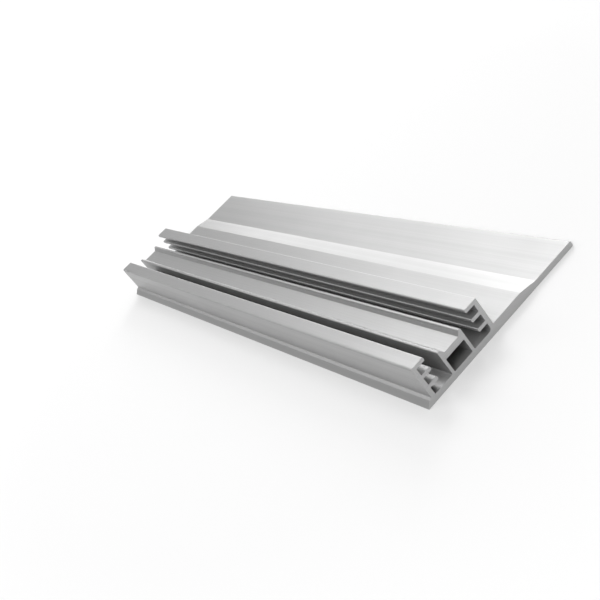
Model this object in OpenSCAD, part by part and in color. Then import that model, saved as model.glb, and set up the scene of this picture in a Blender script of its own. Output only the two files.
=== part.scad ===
// Base plate for mounting solar panels on a tiled roof.
// One extruded length of aluminium, drawn as its cross-section.
// In the cross-section, x runs across the plate from the toe and y runs up from
// the underside. In the finished part, X runs along the plate, Y across it with
// the flange at +Y, and Z up. The origin is in the middle of the underside.

/* [Plate] */
// Length of the plate, along the extrusion
plate_len = 350; // [60:1:1000]
// Width of the plate, from the tip of the toe to the tip of the flange
plate_w = 100; // [86:0.5:180]
// Height of the two channel walls above the underside
wall_h = 20; // [17.5:0.1:32]
// Thickness of the floor under the channels and the box
floor_t = 3; // [2:0.1:4]

/* [Flange] */
// Thickness of the screw-down strip beside the rear wall
strip_t = 4.6; // [3.5:0.1:7]
// Width of the screw-down strip, from the rear wall to the slope
strip_w = 18.5; // [12:0.1:24]
// Width of the slope between the strip and the thin flange
slope_w = 9.5; // [4:0.1:12]
// Thickness of the thin flange that slides under the roof covering
thin_t = 2.8; // [1.8:0.1:3.4]
// Radius of both edges at the tip of the flange
tip_r = 0.7; // [0.2:0.1:0.8]

/* [Toe] */
// How far the toe reaches in front of the front wall
toe_w = 4.2; // [3:0.1:7]
// Height of the upright nose of the toe
toe_nose_h = 0.3; // [0.2:0.1:1]
// Height of the toe's upper edge, where its steep face ends
toe_edge_h = 2.7; // [1.8:0.1:3]
// Width of the ledge between that edge and the front wall
toe_ledge_w = 1.6; // [1:0.1:2.4]
// Height at which the ledge would meet the front wall
toe_top_h = 3.2; // [3:0.1:4]
// Radius of the fillet between the ledge and the front wall
toe_fillet_r = 0.6; // [0.2:0.1:0.8]

/* [Channels] */
// Thickness of the front and rear channel walls
wall_t = 2.4; // [1.6:0.1:3.5]
// Clear width of each channel, from its wall to the side of the box
channel_w = 11.4; // [9.6:0.1:14]
// How far the lip and the locking ribs reach in from their wall
rib_reach = 5.3; // [3:0.1:7]
// Thickness of the lip and of each locking rib
rib_t = 1.8; // [1.4:0.1:2.4]
// Number of locking ribs below each lip
rib_count = 2; // [1:1:3]
// Radius of the edges at the tip of the lip and of each rib
rib_tip_r = 0.6; // [0.2:0.1:0.65]
// Radius of the upper outer edge of the front wall
front_shoulder_r = 1; // [0.2:0.1:1.2]
// Radius of the upper outer edge of the rear wall
rear_shoulder_r = 0.4; // [0.2:0.1:1.2]
// Radius of the fillet between the floor and the rear wall
rear_fillet_r = 1.7; // [0.3:0.1:2]
// Radius of the fillets at the root of the lips, the ribs and the walls
root_r = 0.3; // [0.1:0.1:0.4]

/* [Box] */
// Width of the box between the channels
box_w = 15; // [12:0.1:22]
// Thickness of each side of the box
side_t = 1.6; // [1:0.1:2.4]
// Clear height of the chamber inside the box
chamber_h = 7.4; // [5:0.1:8]
// Radius of the chamber's corners
chamber_r = 0.4; // [0.1:0.1:0.8]
// Thickness of the box's roof
roof_t = 3.1; // [2:0.1:4]
// Height of the two upstands above the roof
upstand_h = 2.3; // [1:0.1:3]
// Width of each upstand at its top, over its rounded edges
upstand_top_w = 1.6; // [1.2:0.1:2.4]
// Width of each upstand where it stands on the roof
upstand_foot_w = 3; // [2.5:0.1:4]
// Radius of both upper edges of each upstand
upstand_r = 0.6; // [0.1:0.1:0.6]
// Radius of the fillets between the floor and the sides of the box
side_fillet_r = 0.7; // [0.2:0.1:1.2]

/* [Hidden] */
$fn = 48;
// Shapes that meet overlap by this much, so that they join as one
overlap = 0.1;

// Places across the plate, counted from the tip of the toe
front_wall_y = toe_w;
box_y = front_wall_y + wall_t + channel_w;
rear_wall_y = box_y + box_w + channel_w + wall_t;
slope_start_y = rear_wall_y + strip_w;
slope_end_y = slope_start_y + slope_w;

// Heights above the underside
roof_z = floor_t + chamber_h;
trough_z = roof_z + roof_t;
upstand_z = trough_z + upstand_h;
// The lip and the ribs share the height of the wall with equal gaps below them
rib_gap = (wall_h - floor_t - (rib_count + 1) * rib_t) / (rib_count + 1);
rib_pitch = rib_gap + rib_t;

// A rectangle from one corner to the opposite one
module bar(y0, z0, y1, z1) {
    translate([y0, z0]) square([y1 - y0, z1 - z0]);
}

// What lies between the corner of a square and an arc of radius r in it.
// The square lies on the side given by side_y and side_z, each 1 or -1.
// Added in an inner corner it is a fillet, and taken off an outer one it rounds it.
module corner(y, z, side_y, side_z, r) {
    translate([y, z])
    mirror([side_y < 0 ? 1 : 0, 0])
    mirror([0, side_z < 0 ? 1 : 0])
    difference() {
        translate([-overlap, -overlap]) square(r + overlap);
        translate([r, r]) circle(r);
    }
}

// Screw-down strip, slope and thin flange behind the rear wall
module flange() {
    difference() {
        polygon([
            [rear_wall_y - overlap, 0],
            [plate_w, 0],
            [plate_w, thin_t],
            [slope_end_y, thin_t],
            [slope_start_y, strip_t],
            [rear_wall_y - overlap, strip_t],
        ]);
        corner(plate_w, 0, -1, 1, tip_r);
        corner(plate_w, thin_t, -1, -1, tip_r);
    }
    corner(rear_wall_y, strip_t, 1, 1, root_r);
}

// Toe in front of the front wall: a steep face, a ledge and a fillet up to the wall
module toe() {
    ledge_a = atan2(toe_top_h - toe_edge_h, toe_ledge_w);
    run = toe_fillet_r * tan((90 - ledge_a) / 2);
    arc_z = toe_top_h + run;
    polygon([
        [0, 0],
        [toe_w + overlap, 0],
        [toe_w + overlap, toe_top_h],
        [toe_w, toe_top_h],
        [toe_w - toe_ledge_w, toe_edge_h],
        [0, toe_nose_h],
    ]);
    difference() {
        polygon([
            [toe_w - run * cos(ledge_a), toe_top_h - run * sin(ledge_a)],
            [toe_w + overlap, toe_top_h - overlap],
            [toe_w + overlap, arc_z],
            [toe_w, arc_z],
        ]);
        translate([toe_w - toe_fillet_r, arc_z]) circle(toe_fillet_r);
    }
}

// One lip or locking rib, drawn as reaching in from a wall's inner face at y = wall_t
module rib(bottom_z) {
    tip_y = wall_t + rib_reach;
    top_z = bottom_z + rib_t;
    difference() {
        bar(wall_t - overlap, bottom_z, tip_y, top_z);
        corner(tip_y, bottom_z, -1, 1, rib_tip_r);
        corner(tip_y, top_z, -1, -1, rib_tip_r);
    }
    corner(wall_t, bottom_z, 1, -1, root_r);
    if (top_z < wall_h - overlap) corner(wall_t, top_z, 1, 1, root_r);
}

// A channel wall with its lip and ribs: outer face at y = 0, inner side towards +y
module ribbed_wall(shoulder_r, foot_r) {
    difference() {
        bar(0, 0, wall_t, wall_h);
        corner(0, wall_h, 1, -1, shoulder_r);
    }
    for (i = [1 : rib_count + 1]) rib(floor_t + i * rib_pitch - rib_t);
    corner(wall_t, floor_t, 1, 1, foot_r);
}

// One upstand on the edge of the box's roof: outer face at y = 0. Its inner side slopes
// down to the foot from just below the rounded top.
module upstand() {
    difference() {
        polygon([
            [0, roof_z],
            [upstand_foot_w, roof_z],
            [upstand_foot_w, trough_z],
            [upstand_top_w, upstand_z - upstand_r],
            [upstand_top_w, upstand_z],
            [0, upstand_z],
        ]);
        corner(0, upstand_z, 1, -1, upstand_r);
        corner(upstand_top_w, upstand_z, -1, -1, upstand_r);
    }
}

// Half of the box: one side, half the roof and one upstand
module half_box() {
    bar(0, floor_t - overlap, side_t, trough_z);
    bar(0, roof_z, box_w / 2 + overlap, trough_z);
    upstand();
    corner(0, floor_t, -1, 1, side_fillet_r);
    corner(side_t, floor_t, 1, 1, chamber_r);
    corner(side_t, roof_z, 1, -1, chamber_r);
}

// The box between the channels, as its two halves
module box() {
    translate([box_y, 0]) half_box();
    translate([box_y + box_w, 0]) mirror([1, 0]) half_box();
}

// The whole cross-section
module section() {
    bar(toe_w, 0, rear_wall_y, floor_t);
    toe();
    translate([front_wall_y, 0]) ribbed_wall(front_shoulder_r, root_r);
    box();
    translate([rear_wall_y, 0]) mirror([1, 0]) ribbed_wall(rear_shoulder_r, rear_fillet_r);
    flange();
}

// The extrusion: the cross-section run along X, sawn square at both ends
module base_plate() {
    color("#b4b7ba")
    translate([0, -plate_w / 2, 0])
    rotate([90, 0, 90])
    linear_extrude(plate_len, center = true) section();
}

base_plate();
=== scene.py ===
# %% [markdown]
# # A base plate for mounting solar panels
#
# This is the aluminium plate that a roofer screws to a rafter before the roof is covered
# again. It is one length of extrusion: a hot billet was pressed through a steel die cut to
# the shape of the section, and the bar that came out was stretched straight and sawn to
# length. Two lipped channels with locking ribs stand on either side of a hollow box, and a
# flat flange runs out behind them for the screws.
#
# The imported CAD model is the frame. It gives every size, and nothing here changes one.
# What this script adds is how the plate looks: its broken edges, its metal with the die's
# lines and the saw's marks, and the light of a plain studio.

# %% Loading the frame
import math

import bpy
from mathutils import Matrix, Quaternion, Vector


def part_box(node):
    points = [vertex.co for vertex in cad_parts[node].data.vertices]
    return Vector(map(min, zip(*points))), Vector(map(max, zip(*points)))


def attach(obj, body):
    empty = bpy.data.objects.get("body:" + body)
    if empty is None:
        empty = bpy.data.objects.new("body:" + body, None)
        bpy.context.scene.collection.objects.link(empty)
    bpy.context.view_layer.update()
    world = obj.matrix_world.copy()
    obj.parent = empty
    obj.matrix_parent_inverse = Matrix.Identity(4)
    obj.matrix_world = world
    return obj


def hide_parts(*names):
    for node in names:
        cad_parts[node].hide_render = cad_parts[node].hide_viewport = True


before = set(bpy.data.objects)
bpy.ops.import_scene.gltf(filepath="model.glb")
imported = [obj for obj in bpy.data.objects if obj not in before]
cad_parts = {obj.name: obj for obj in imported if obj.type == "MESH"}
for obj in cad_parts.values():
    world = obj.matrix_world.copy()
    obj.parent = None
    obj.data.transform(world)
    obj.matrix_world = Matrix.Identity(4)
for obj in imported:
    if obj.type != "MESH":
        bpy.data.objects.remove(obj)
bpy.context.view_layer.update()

MM = 0.001
scene = bpy.context.scene
cad_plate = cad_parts["base_plate"]
low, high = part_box("base_plate")
plate_length, plate_width, plate_height = high - low
print(f"plate: {plate_length / MM:.1f} x {plate_width / MM:.1f} x {plate_height / MM:.1f} mm")

# %% [markdown]
# ## The camera
#
# The photograph looks along the plate from its near sawn end and from above, with the
# camera leaning over to one side, so that the plate runs down across the picture. Three
# turns about the axes would give that view too, but they say nothing to a reader. So it is
# set up as a person would do it: where the camera stands, what it looks at, how far it is
# rolled about its own line of sight, and its lens. The four were solved from the straight
# edges of the plate, which have to fall where the photograph has them.

# %% Camera
camera_place = Vector((0.52650, -0.16751, 0.25436))
camera_aim = Vector((0.00749, -0.01394, -0.00459))
camera_roll = math.radians(-39.083)
focal_length = 63.835
film_width = 36

lens = bpy.data.cameras.new("camera")
lens.sensor_width = film_width
lens.lens = focal_length
lens.clip_start = 0.01
lens.clip_end = 50
camera = bpy.data.objects.new("camera", lens)
scene.collection.objects.link(camera)
sight = camera_aim - camera_place
camera.location = camera_place
camera.rotation_mode = "QUATERNION"
camera.rotation_quaternion = sight.to_track_quat("-Z", "Y") @ Quaternion((0, 0, 1), camera_roll)
scene.camera = camera
print(f"camera: {sight.length / MM:.0f} mm from what it looks at, {focal_length:.1f} mm lens")

# %% [markdown]
# ## Three small helpers
#
# Every finish, and the plate itself, is a tree of nodes. One function adds a node: its
# settings are given by name, and each of its sockets gets a value or the output of another
# node. A second one turns a colour as a paint chart or a web page writes it, in sRGB, into
# the linear numbers that a socket holds. A third opens an empty material.


# %% Helpers for nodes, colours and materials
def add_node(tree, kind, inputs=None, **settings):
    """Adds a node. inputs gives sockets, by name or number, a value or another's output."""
    node = tree.nodes.new(kind)
    for name, value in settings.items():
        setattr(node, name, value)
    for name, value in (inputs or {}).items():
        if isinstance(value, bpy.types.NodeSocket):
            tree.links.new(value, node.inputs[name])
        else:
            node.inputs[name].default_value = value
    return node


def linear(hex_colour):
    """The linear red, green, blue and alpha of an sRGB colour such as #a2a4a6."""
    parts = [int(hex_colour[at : at + 2], 16) / 255 for at in (1, 3, 5)]
    return [p / 12.92 if p <= 0.04045 else ((p + 0.055) / 1.055) ** 2.4 for p in parts] + [1]


def new_material(name):
    """An empty material, and its tree to fill."""
    material = bpy.data.materials.new(name)
    material.use_nodes = True
    material.node_tree.nodes.clear()
    return material, material.node_tree


print("a mid grey, #808080, is", round(linear("#808080")[0], 3), "in linear light")

# %% [markdown]
# ## Mill finish, the skin of the extrusion
#
# The real metal is an aluminium alloy just as it left the press, neither polished nor
# anodised. It slid through the die while it was hot, so its skin has fine straight lines
# all along it and none across, broader bands where the die was more worn, and faint clouds
# where it was gripped and stacked. To the eye that is a soft, satin grey. Part of it
# mirrors the room and part only scatters light, because a thin oxide covers the metal.
#
# A picture of such a skin would repeat and would need unwrapping. But the lines depend on
# nothing except the place across the section. So noise that is squeezed across the plate
# and drawn out along it gives them on every face, deep in the channels as on the flange.
# Real lines lie about 0.1 mm apart, too fine for the render to show, so the ones here are
# as coarse as it needs.

# %% Mill finish: the marks on the skin
line_spacing = 0.6 * MM
band_width = 5 * MM
cloud_size = 28 * MM
line_run = 900 * MM
# The size of each kind of mark across the plate and along it, and the detail of its noise
die_lines = (line_spacing, line_run, 2)
worn_bands = (band_width, line_run, 1)
faint_clouds = (cloud_size, 2 * cloud_size, 3)

mill_finish, tree = new_material("mill_finish_aluminium")
place = add_node(tree, "ShaderNodeTexCoord").outputs["Object"]
noises = []
for across, along, detail in (die_lines, worn_bands, faint_clouds):
    squeezed = add_node(
        tree,
        "ShaderNodeMapping",
        {"Vector": place, "Scale": (1 / along, 1 / across, 1 / across)},
    )
    noise = add_node(
        tree,
        "ShaderNodeTexNoise",
        {"Vector": squeezed.outputs["Vector"], "Scale": 1, "Detail": detail},
    )
    noises.append(noise.outputs["Fac"])
lines, bands, clouds = noises
streaks = add_node(tree, "ShaderNodeMath", {0: lines, 1: bands}, operation="ADD")
marks = add_node(
    tree, "ShaderNodeMath", {0: streaks.outputs["Value"], 1: clouds}, operation="ADD"
)
print(f"marks: lines {line_spacing / MM:.1f} mm apart, bands {band_width / MM:.0f} mm wide")

# %% [markdown]
# ### From marks to metal
#
# The sum of all marks drives the colour and the roughness together: where the die rubbed
# harder, the skin is a little paler and a little smoother. Only the lines and the bands can
# be felt with a fingertip, so they alone give the relief, and the clouds are left flat.

# %% Mill finish: colour, roughness and relief
skin_pale = "#ababab"
skin_dark = "#a0a0a0"
line_depth = 0.004 * MM
dull_roughness = 0.42
worn_roughness = 0.36
mirror_share = 0.6
# The three noises add up to about this much at their weakest and strongest
faintest, strongest = 1.0, 2.0

tint = add_node(
    tree,
    "ShaderNodeMapRange",
    {"Value": marks.outputs["Value"], "From Min": faintest, "From Max": strongest},
)
colour = add_node(
    tree,
    "ShaderNodeMix",
    {"Factor": tint.outputs["Result"], "A": linear(skin_dark), "B": linear(skin_pale)},
    data_type="RGBA",
)
polish = add_node(
    tree,
    "ShaderNodeMapRange",
    {
        "Value": marks.outputs["Value"],
        "From Min": faintest,
        "From Max": strongest,
        "To Min": dull_roughness,
        "To Max": worn_roughness,
    },
)
relief = add_node(
    tree,
    "ShaderNodeBump",
    {"Height": streaks.outputs["Value"], "Strength": 1.0, "Distance": line_depth},
)
skin = add_node(
    tree,
    "ShaderNodeBsdfPrincipled",
    {
        "Base Color": colour.outputs["Result"],
        "Roughness": polish.outputs["Result"],
        "Normal": relief.outputs["Normal"],
        "Metallic": mirror_share,
    },
)
add_node(tree, "ShaderNodeOutputMaterial", {"Surface": skin.outputs["BSDF"]})
print(f"mill finish: {len(tree.nodes)} nodes, roughness {worn_roughness} to {dull_roughness}")

# %% [markdown]
# ## The saw's marks on both ends
#
# A circular saw with fine teeth cut the bar square. Each tooth left a shallow arc, so the
# ends are crossed by arcs about the middle of the blade, a little brighter than the skin
# where the cut is fresh and a little rougher. A wave texture would space them as evenly as
# a record's groove. Noise read along the distance from the blade's middle makes some arcs
# deeper than others, as the teeth do. The real step of a tooth is about 0.1 mm, and here it
# is drawn coarser so that it shows.

# %% Sawn aluminium
cut_pale = "#bababa"
cut_dark = "#aeaeae"
tooth_step = 0.5 * MM
tooth_depth = 0.006 * MM
blade_middle = (0, -30 * MM, -150 * MM)
cut_roughness = 0.5
across_the_bar = (0, 1, 1)

sawn, tree = new_material("sawn_aluminium")
place = add_node(tree, "ShaderNodeTexCoord").outputs["Object"]
across_only = add_node(
    tree, "ShaderNodeVectorMath", {0: place, 1: across_the_bar}, operation="MULTIPLY"
)
radius = add_node(
    tree,
    "ShaderNodeVectorMath",
    {0: across_only.outputs["Vector"], 1: blade_middle},
    operation="DISTANCE",
)
steps = add_node(
    tree, "ShaderNodeMath", {0: radius.outputs["Value"], 1: tooth_step}, operation="DIVIDE"
)
arcs = add_node(
    tree,
    "ShaderNodeTexNoise",
    {"W": steps.outputs["Value"], "Scale": 1, "Detail": 2},
    noise_dimensions="1D",
)
colour = add_node(
    tree,
    "ShaderNodeMix",
    {"Factor": arcs.outputs["Fac"], "A": linear(cut_dark), "B": linear(cut_pale)},
    data_type="RGBA",
)
relief = add_node(
    tree,
    "ShaderNodeBump",
    {"Height": arcs.outputs["Fac"], "Strength": 1.0, "Distance": tooth_depth},
)
cut = add_node(
    tree,
    "ShaderNodeBsdfPrincipled",
    {
        "Base Color": colour.outputs["Result"],
        "Normal": relief.outputs["Normal"],
        "Metallic": mirror_share,
        "Roughness": cut_roughness,
    },
)
add_node(tree, "ShaderNodeOutputMaterial", {"Surface": cut.outputs["BSDF"]})
print(f"sawn ends: {len(tree.nodes)} nodes, arcs {tooth_step / MM:.1f} mm apart")

# %% [markdown]
# ## The plate, pushed through its own section
#
# The plate has one section all along it, which is a rule that a tree of geometry nodes can
# follow just as the press did. Its walls could be drawn again here from their sizes, but
# then the two models might part. So the tree starts from the CAD's own end face and pushes
# that along. It is given the plate's length and the two metals as named inputs.

# %% The press: its inputs
close = 0.002 * MM
tree = bpy.data.node_groups.new("extrusion_press", "GeometryNodeTree")
tree.is_modifier = True


def new_input(name, kind):
    """A named input of the tree. A modifier finds it by its identifier."""
    return tree.interface.new_socket(name, in_out="INPUT", socket_type=kind).identifier


new_input("Frame", "NodeSocketGeometry")
length_input = new_input("Length", "NodeSocketFloat")
skin_input = new_input("Skin", "NodeSocketMaterial")
cut_input = new_input("Saw cut", "NodeSocketMaterial")
tree.interface.new_socket("Plate", in_out="OUTPUT", socket_type="NodeSocketGeometry")
given = add_node(tree, "NodeGroupInput").outputs
print("the press is given:", [socket.name for socket in given if socket.name])

# %% [markdown]
# ### The section, cut from the end
#
# Loose triangles come in. They are merged, and only those of the sawn end are kept. Their
# rim, every edge with one face, becomes a curve: the outline of the section and that of the
# chamber in the box. The triangles could be pushed along as they are, but they would leave
# their own edges across the sawn end. Filled again from its rim, the end is one clean face
# with a hole. A curve is filled only in its XY plane, so the end is first laid flat, with Y
# and Z of the plate as X and Y.

# %% The press: the section, laid flat
whole = add_node(
    tree, "GeometryNodeMergeByDistance", {"Geometry": given["Frame"], "Distance": close}
)
place = add_node(tree, "GeometryNodeInputPosition").outputs["Position"]
axes = add_node(tree, "ShaderNodeSeparateXYZ", {"Vector": place}).outputs
half = add_node(tree, "ShaderNodeMath", {0: given["Length"], 1: 2}, operation="DIVIDE")
just_inside = add_node(
    tree, "ShaderNodeMath", {0: half.outputs["Value"], 1: close}, operation="SUBTRACT"
)
at_end = add_node(
    tree,
    "FunctionNodeCompare",
    {"A": axes["X"], "B": just_inside.outputs["Value"]},
    operation="GREATER_THAN",
)
end_face = add_node(
    tree,
    "GeometryNodeSeparateGeometry",
    {"Geometry": whole.outputs["Geometry"], "Selection": at_end.outputs["Result"]},
    domain="FACE",
)
laid_flat = add_node(tree, "ShaderNodeCombineXYZ", {"X": axes["Y"], "Y": axes["Z"]})
flat = add_node(
    tree,
    "GeometryNodeSetPosition",
    {"Geometry": end_face.outputs["Selection"], "Position": laid_flat.outputs["Vector"]},
)
neighbours = add_node(tree, "GeometryNodeInputMeshEdgeNeighbors")
on_rim = add_node(
    tree,
    "FunctionNodeCompare",
    {"A": neighbours.outputs["Face Count"], "B": 1},
    data_type="INT",
    operation="EQUAL",
)
outline = add_node(
    tree,
    "GeometryNodeMeshToCurve",
    {"Mesh": flat.outputs["Geometry"], "Selection": on_rim.outputs["Result"]},
)
section = add_node(
    tree, "GeometryNodeFillCurve", {"Curve": outline.outputs["Curve"]}, mode="NGONS"
)
print(f"{len(tree.nodes)} nodes draw the section")

# %% [markdown]
# ### Pushed along, closed and stood up
#
# The press pushed the metal through the die, and an extrude does the same with the filled
# section. It leaves the end that it started from open. A curve swept along a line would
# give the walls too, but both of its ends would be open. So one flipped copy of the section
# closes the bar, the copies' shared corners are merged, and the bar is stood up again
# where the CAD has it.

# %% The press: pushed along and stood up
straight_up = (0, 0, 1)
pushed = add_node(
    tree,
    "GeometryNodeExtrudeMesh",
    {
        "Mesh": section.outputs["Mesh"],
        "Offset": straight_up,
        "Offset Scale": given["Length"],
        "Individual": False,
    },
)
other_end = add_node(tree, "GeometryNodeFlipFaces", {"Mesh": section.outputs["Mesh"]})
bar = add_node(tree, "GeometryNodeJoinGeometry", {"Geometry": pushed.outputs["Mesh"]})
tree.links.new(other_end.outputs["Mesh"], bar.inputs["Geometry"])
closed = add_node(
    tree,
    "GeometryNodeMergeByDistance",
    {"Geometry": bar.outputs["Geometry"], "Distance": close},
)
centred = add_node(
    tree, "ShaderNodeMath", {0: axes["Z"], 1: half.outputs["Value"]}, operation="SUBTRACT"
)
in_place = add_node(
    tree,
    "ShaderNodeCombineXYZ",
    {"X": centred.outputs["Value"], "Y": axes["X"], "Z": axes["Y"]},
)
stood_up = add_node(
    tree,
    "GeometryNodeSetPosition",
    {"Geometry": closed.outputs["Geometry"], "Position": in_place.outputs["Vector"]},
)
print(f"{len(tree.nodes)} nodes with the bar in place")

# %% [markdown]
# ### Flat faces, round corners and their shading
#
# The arcs of the section come as short steps of about 8 degrees, which are shaded smooth.
# The slope on the flange turns by only 11 degrees, and the edge along the toe by 25, yet
# both are folds between flat faces and should catch the light as such. So a fold is kept
# sharp if it turns by more than a step of an arc. The corners that turn by more than 30
# degrees are left to a bevel, because no real corner is a perfect edge: the die leaves a
# small radius, and the saw's burr is filed off. That thin rim is what catches a line of
# light.

# %% The press: folds
arc_step = math.radians(9.5)
corner_turn = math.radians(30)
turn = add_node(tree, "GeometryNodeInputMeshEdgeAngle").outputs["Unsigned Angle"]
over_step = add_node(
    tree, "FunctionNodeCompare", {"A": turn, "B": arc_step}, operation="GREATER_THAN"
)
no_corner = add_node(
    tree, "FunctionNodeCompare", {"A": turn, "B": corner_turn}, operation="LESS_THAN"
)
is_fold = add_node(
    tree,
    "FunctionNodeBooleanMath",
    {0: over_step.outputs["Result"], 1: no_corner.outputs["Result"]},
    operation="AND",
)
shaded = add_node(
    tree,
    "GeometryNodeSetShadeSmooth",
    {
        "Geometry": stood_up.outputs["Geometry"],
        "Selection": is_fold.outputs["Boolean"],
        "Shade Smooth": False,
    },
    domain="EDGE",
)
sharp_turns = [round(math.degrees(angle), 1) for angle in (arc_step, corner_turn)]
print("folds are kept sharp between these turns, in degrees:", sharp_turns)

# %% [markdown]
# ### The two metals
#
# All faces get the skin, and then those that look along the plate get the sawn metal. The
# metals could be given by hand to numbered faces, but the numbers change when the section
# does, and the way a face looks doesn't. The tree makes no instances. It still makes them
# real before it ends, so that none is lost on export if a later change adds some.

# %% The press: skin and saw cut
end_facing = 0.9
plate_axis = (1, 0, 0)
real = add_node(
    tree, "GeometryNodeRealizeInstances", {"Geometry": shaded.outputs["Geometry"]}
)
skinned = add_node(
    tree,
    "GeometryNodeSetMaterial",
    {"Geometry": real.outputs["Geometry"], "Material": given["Skin"]},
)
facing = add_node(tree, "GeometryNodeInputNormal").outputs["Normal"]
lengthwise = add_node(
    tree, "ShaderNodeVectorMath", {0: facing, 1: plate_axis}, operation="DOT_PRODUCT"
)
how_far = add_node(
    tree, "ShaderNodeMath", {0: lengthwise.outputs["Value"]}, operation="ABSOLUTE"
)
is_cut = add_node(
    tree,
    "FunctionNodeCompare",
    {"A": how_far.outputs["Value"], "B": end_facing},
    operation="GREATER_THAN",
)
finished = add_node(
    tree,
    "GeometryNodeSetMaterial",
    {
        "Geometry": skinned.outputs["Geometry"],
        "Selection": is_cut.outputs["Result"],
        "Material": given["Saw cut"],
    },
)
add_node(tree, "NodeGroupOutput", {"Plate": finished.outputs["Geometry"]})
print(f"extrusion press: {len(tree.nodes)} nodes")

# %% [markdown]
# ## From the press to a plain mesh
#
# The tree runs as a modifier on a copy of the CAD's mesh. After it, a bevel breaks the
# corners, and the normals are weighed by area, so that a wide flat face stays flat to the
# eye right up to its rounded corner. A modifier that stays on a piece would be carried into
# every pose and export, so the finished shape is taken once from the evaluated object as a
# plain mesh. The blank that carried the modifiers is thrown away.

# %% Making the plate
edge_break = 0.13 * MM
break_faces = 2
# 50 would weigh large and small faces alike, and at 100 the large ones win
favour_large_faces = 100

blank_mesh = cad_plate.data.copy()
blank_mesh.materials.clear()
blank = bpy.data.objects.new("blank", blank_mesh)
scene.collection.objects.link(blank)
press = blank.modifiers.new("extrusion press", "NODES")
press.node_group = tree
press[length_input] = plate_length
press[skin_input] = mill_finish
press[cut_input] = sawn
bevel = blank.modifiers.new("broken corners", "BEVEL")
bevel.width = edge_break
bevel.segments = break_faces
bevel.limit_method = "ANGLE"
bevel.angle_limit = corner_turn
bevel.use_clamp_overlap = False
weights = blank.modifiers.new("flat faces stay flat", "WEIGHTED_NORMAL")
weights.weight = favour_large_faces
weights.keep_sharp = True

shapes = bpy.context.evaluated_depsgraph_get()
plate_mesh = bpy.data.meshes.new_from_object(
    blank.evaluated_get(shapes), preserve_all_data_layers=True, depsgraph=shapes
)
bpy.data.objects.remove(blank)
plate_mesh.name = "mounting_plate"
# The join of parts that have no metal yet leaves an empty slot before the two metals
plate_mesh.materials.pop(index=0)
plate = bpy.data.objects.new("mounting_plate", plate_mesh)
scene.collection.objects.link(plate)
print(f"plate: {len(plate_mesh.vertices)} vertices, {len(plate_mesh.polygons)} faces")
print("metals:", [metal.name for metal in plate_mesh.materials])

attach(plate, "root")
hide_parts("base_plate")

# %% [markdown]
# ## The floor
#
# The plate lies on a sheet of white paper. Plain light would show that sheet a little grey,
# and brighter lamps would make it white but bleach the metal with it. So only what the
# camera sees of the paper is lifted to white, with what the metal mirrors of it. The lift
# is small near the plate, where it would thin the shadow, and grows further out, where the
# lamps no longer reach.

# %% Paper
sheet_white = "#e4e4e4"
near_lift = 0.12
near_reach = 0.2
far_lift = 0.6
far_reach = 2

paper, tree = new_material("pale_studio_paper")
path = add_node(tree, "ShaderNodeLightPath").outputs
mirrored = add_node(
    tree,
    "ShaderNodeMath",
    {0: path["Is Glossy Ray"], 1: path["Is Transmission Ray"]},
    operation="MAXIMUM",
)
shown = add_node(
    tree,
    "ShaderNodeMath",
    {0: path["Is Camera Ray"], 1: mirrored.outputs["Value"]},
    operation="MAXIMUM",
)
spot = add_node(tree, "ShaderNodeTexCoord").outputs["Object"]
away = add_node(tree, "ShaderNodeVectorMath", {0: spot}, operation="LENGTH")
lift = add_node(
    tree,
    "ShaderNodeMapRange",
    {
        "Value": away.outputs["Value"],
        "From Min": near_reach,
        "From Max": far_reach,
        "To Min": near_lift,
        "To Max": far_lift,
    },
)
shown_lift = add_node(
    tree,
    "ShaderNodeMath",
    {0: shown.outputs["Value"], 1: lift.outputs["Result"]},
    operation="MULTIPLY",
)
sheet = add_node(tree, "ShaderNodeBsdfDiffuse", {"Color": linear(sheet_white)})
glow = add_node(tree, "ShaderNodeEmission", {"Strength": shown_lift.outputs["Value"]})
lit = add_node(
    tree, "ShaderNodeAddShader", {0: sheet.outputs["BSDF"], 1: glow.outputs["Emission"]}
)
add_node(tree, "ShaderNodeOutputMaterial", {"Surface": lit.outputs["Shader"]})
print(f"paper: {len(tree.nodes)} nodes, lifted by {near_lift} to {far_lift}")

# %% [markdown]
# ### The sheet itself
#
# One flat face is enough. It reaches so far out that its rim lies at the horizon from any
# side, and it lies a hair below the plate's underside, so that no two faces share a plane.

# %% Floor
floor_half = 6

edges = (-floor_half, floor_half)
corners = [(x, y, -close) for y in edges for x in edges]
floor_mesh = bpy.data.meshes.new("studio_floor")
floor_mesh.from_pydata(corners, [], [(0, 1, 3, 2)])
floor_mesh.materials.append(paper)
floor = bpy.data.objects.new("studio_floor", floor_mesh)
scene.collection.objects.link(floor)
print(f"floor: {2 * floor_half} m square")

# %% [markdown]
# ## The room
#
# Metal mirrors the room, so the room is part of its look. An even white one would be
# simplest, but under it every flat face comes out alike. This one is drawn by how high a
# ray looks, with a colour ramp of four levels. It is white at the horizon, where it meets
# the paper, so that no edge shows behind the plate. Just above stand dim walls, which the
# steep face of the toe mirrors, so that it stays darker than the ledge over it. Higher up
# the room brightens to a pale ceiling, whose light also falls into the channels.

# %% Room
room_levels = {0: 1, 10: 0.3, 18: 0.3, 45: 0.75}

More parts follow.
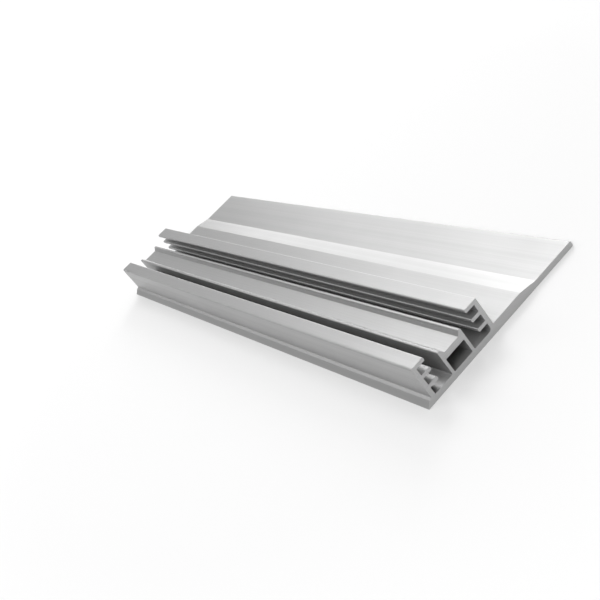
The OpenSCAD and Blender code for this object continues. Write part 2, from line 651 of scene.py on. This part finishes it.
world = bpy.data.worlds.new("studio_room")
scene.world = world
world.use_nodes = True
tree = world.node_tree
tree.nodes.clear()
direction = add_node(tree, "ShaderNodeTexCoord").outputs["Generated"]
height = add_node(tree, "ShaderNodeSeparateXYZ", {"Vector": direction}).outputs["Z"]
levels = add_node(tree, "ShaderNodeValToRGB", {"Fac": height})
stops = levels.color_ramp.elements
stops.remove(stops[1])
for degrees, level in room_levels.items():
    stop = stops.new(math.sin(math.radians(degrees))) if degrees else stops[0]
    stop.color = (level, level, level, 1)
room = add_node(tree, "ShaderNodeBackground", {"Color": levels.outputs["Color"]})
add_node(tree, "ShaderNodeOutputWorld", {"Surface": room.outputs["Background"]})
print("room, degrees up and level:", room_levels)

# %% [markdown]
# ## Soft lamps
#
# Each lamp is placed by the face it lights. Seen from the camera, the flat tops mirror what
# stands behind the far end, 20 to 30 degrees up. The first lamp stands to the side of that,
# so they grow brighter towards the near end. The second is higher and gives the slope on
# the flange its bright band. A low one rakes along the plate from behind. The fourth picks
# out the ledge along the toe. The last stands in front, high enough to reach over the box
# to the ribs of the rear channel. All are square softboxes of one size at one distance,
# turned to the middle of the plate. Together with the room they leave a flat white sheet
# just below white, so a colour on the plate comes out about as it is written.

# %% Softboxes
lamp_distance = 2.0
lamp_size = 0.7


def softbox(name, azimuth, elevation, brightness):
    """A square lamp turned to the plate, placed by two angles in degrees.

    Azimuth 0 stands off the near end and 90 behind. The brightness is that of the lamp's
    face, where 1 is white.
    """
    around, up = math.radians(azimuth), math.radians(elevation)
    outward = math.cos(up)
    towards = Vector((math.cos(around) * outward, math.sin(around) * outward, math.sin(up)))
    lamp = bpy.data.lights.new(name, "AREA")
    lamp.shape = "SQUARE"
    lamp.size = lamp_size
    # A lamp's watts spread over its face and over half a sphere of directions
    lamp.energy = brightness * math.pi * lamp_size**2
    holder = bpy.data.objects.new(name, lamp)
    scene.collection.objects.link(holder)
    holder.location = towards * lamp_distance
    holder.rotation_euler = (-towards).to_track_quat("-Z", "Y").to_euler()


softbox("top_face_lamp", 130, 24, 6.4)
softbox("slope_lamp", 150, 44, 5.1)
softbox("raking_lamp", 150, 8, 3.0)
softbox("ledge_lamp", 200, 34, 2.2)
softbox("channel_lamp", 315, 44, 7.5)
lamps = [item for item in scene.objects if item.type == "LIGHT"]
print("lamps, in watts:", {lamp.name: round(lamp.data.energy, 1) for lamp in lamps})

scene.view_settings.view_transform = "Standard"
